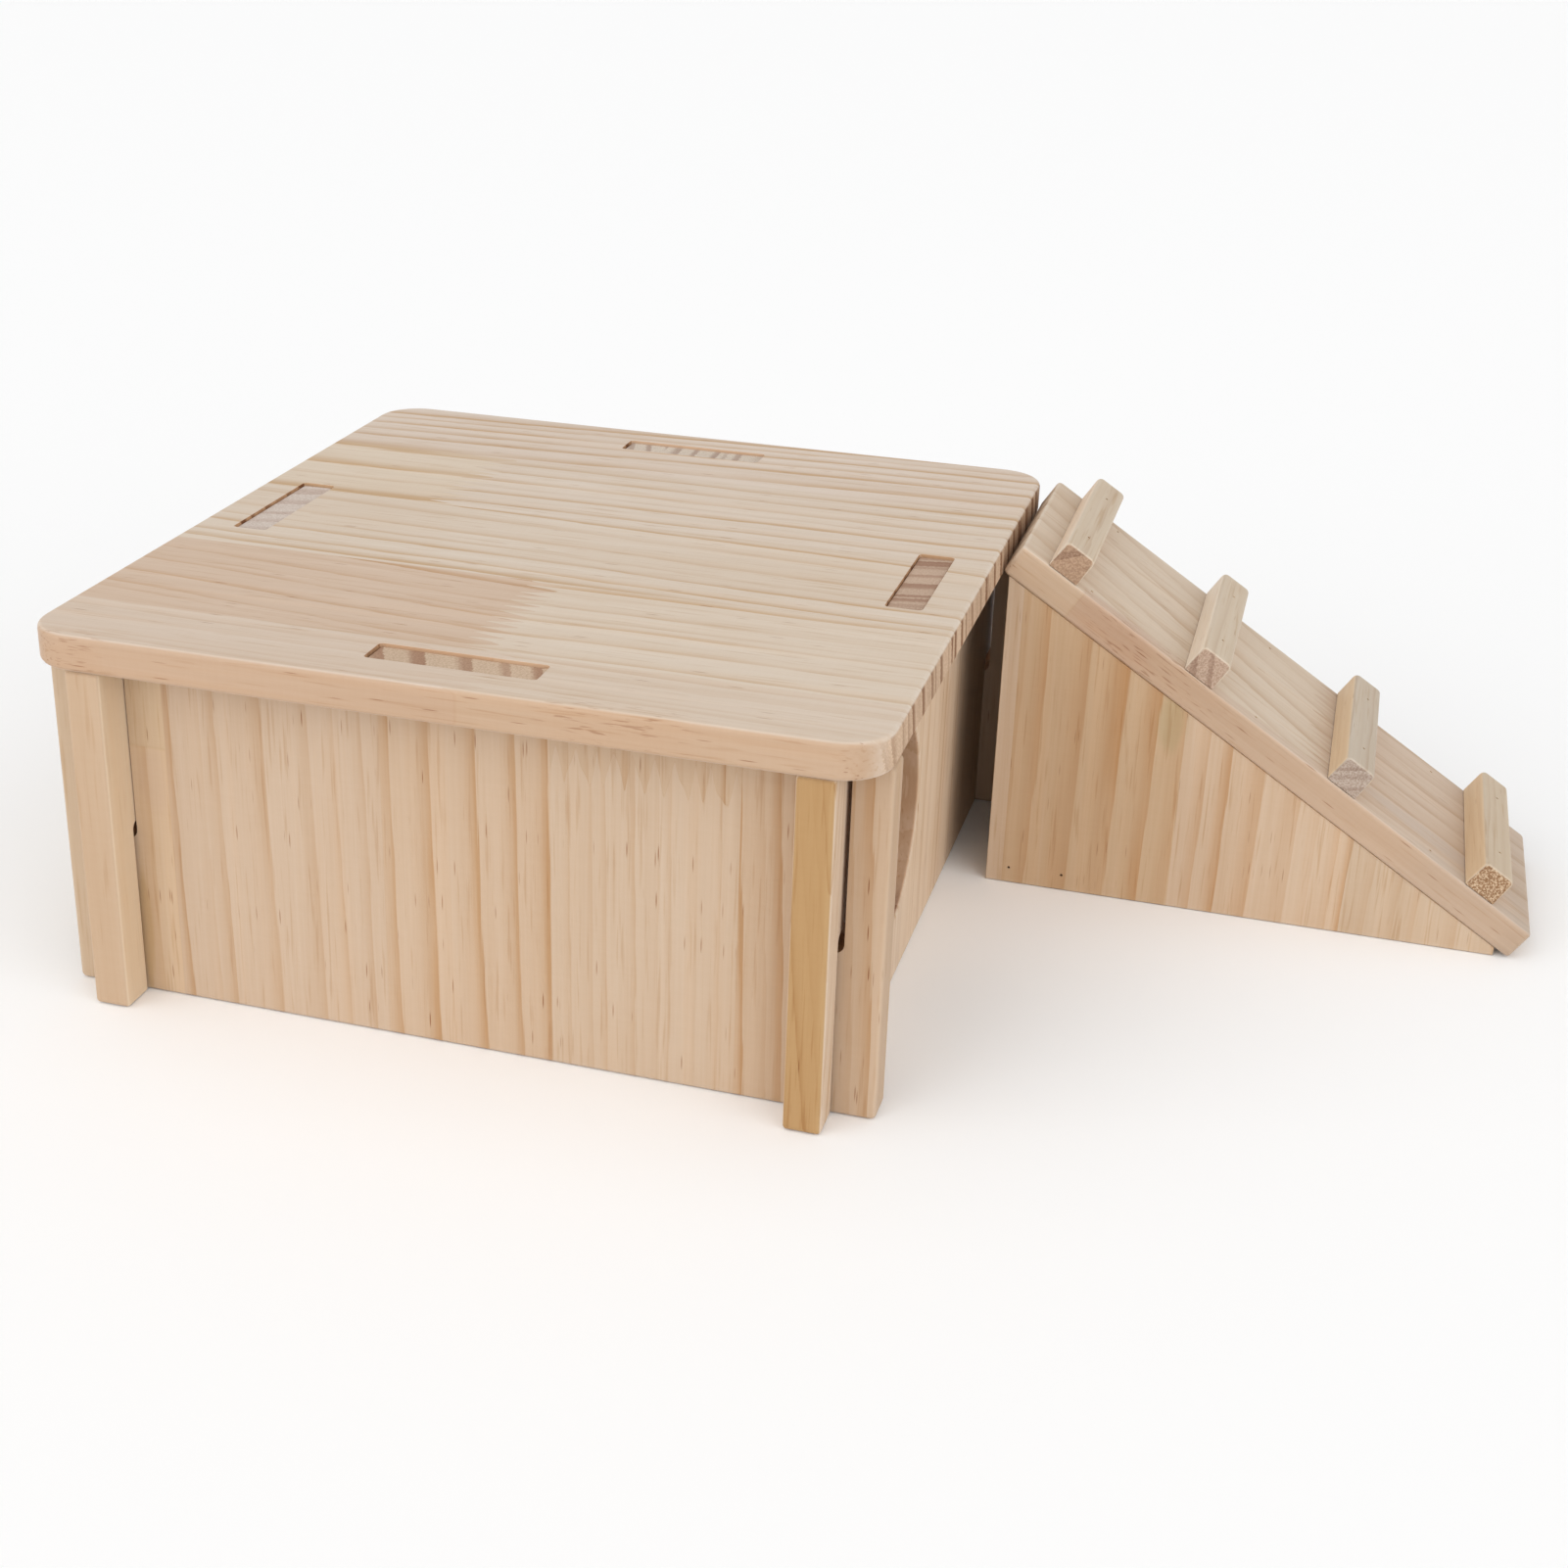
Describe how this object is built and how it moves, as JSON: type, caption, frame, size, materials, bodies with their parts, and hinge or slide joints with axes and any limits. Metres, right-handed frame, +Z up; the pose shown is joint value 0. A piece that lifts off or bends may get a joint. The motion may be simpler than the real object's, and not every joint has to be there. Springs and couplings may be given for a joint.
{
  "type": "hamster house with ramp",
  "caption": "Flat-pack pine hideout for a hamster: interlocking walls, lift-off lid and a loose cleated ramp up to the lid.",
  "frame": {"origin": "on the floor, at the middle of the footprint of the house and its ramp together", "axes": "+X from the house to the ramp, +Y from the front wall to the back wall, +Z up"},
  "size_m": [0.4708, 0.283, 0.1345],
  "materials": {
    "lid_pine": "sanded, unfinished pine",
    "front_wall_pine": "sanded, unfinished pine",
    "side_wall_pine": "sanded, unfinished pine",
    "ramp_board_pine": "sanded, unfinished pine",
    "ramp_side_pine": "sanded, unfinished pine",
    "cleat_pine": "sanded, unfinished pine",
    "pin_steel": "plain wire"
  },
  "bodies": {
    "front_and_back_walls": {"front_wall": "front_wall_pine", "back_wall": "front_wall_pine"},
    "side_walls": {"left_wall": "side_wall_pine", "right_wall": "side_wall_pine"},
    "lid": {"lid": "lid_pine"},
    "ramp": {"ramp_board": "ramp_board_pine", "ramp_near_side": "ramp_side_pine", "ramp_far_side": "ramp_side_pine", "ramp_floor_rail": "ramp_side_pine", "ramp_cleat_1": "cleat_pine", "ramp_cleat_2": "cleat_pine", "ramp_cleat_3": "cleat_pine", "ramp_cleat_4": "cleat_pine", "cleat_pin_1_1": "pin_steel", "cleat_pin_1_2": "pin_steel", "cleat_pin_2_1": "pin_steel", "cleat_pin_2_2": "pin_steel", "cleat_pin_3_1": "pin_steel", "cleat_pin_3_2": "pin_steel", "cleat_pin_4_1": "pin_steel", "cleat_pin_4_2": "pin_steel", "near_side_pin_1": "pin_steel", "near_side_pin_2": "pin_steel", "near_side_pin_3": "pin_steel", "far_side_pin_1": "pin_steel", "far_side_pin_2": "pin_steel", "far_side_pin_3": "pin_steel", "near_rail_pin_1": "pin_steel", "near_rail_pin_2": "pin_steel", "far_rail_pin_1": "pin_steel", "far_rail_pin_2": "pin_steel"}
  },
  "joints": [
    {"name": "side_walls_lift", "type": "slide", "parent": "front_and_back_walls", "child": "side_walls", "axis": [0, 0, 1], "range_m": [0, 0.065]},
    {"name": "lid_lift", "type": "slide", "parent": "side_walls", "child": "lid", "axis": [0, 0, 1], "range_m": [0, 0.08]},
    {"name": "ramp_slide", "type": "slide", "parent": "front_and_back_walls", "child": "ramp", "axis": [1, 0, 0], "range_m": [0, 0.12]}
  ]
}
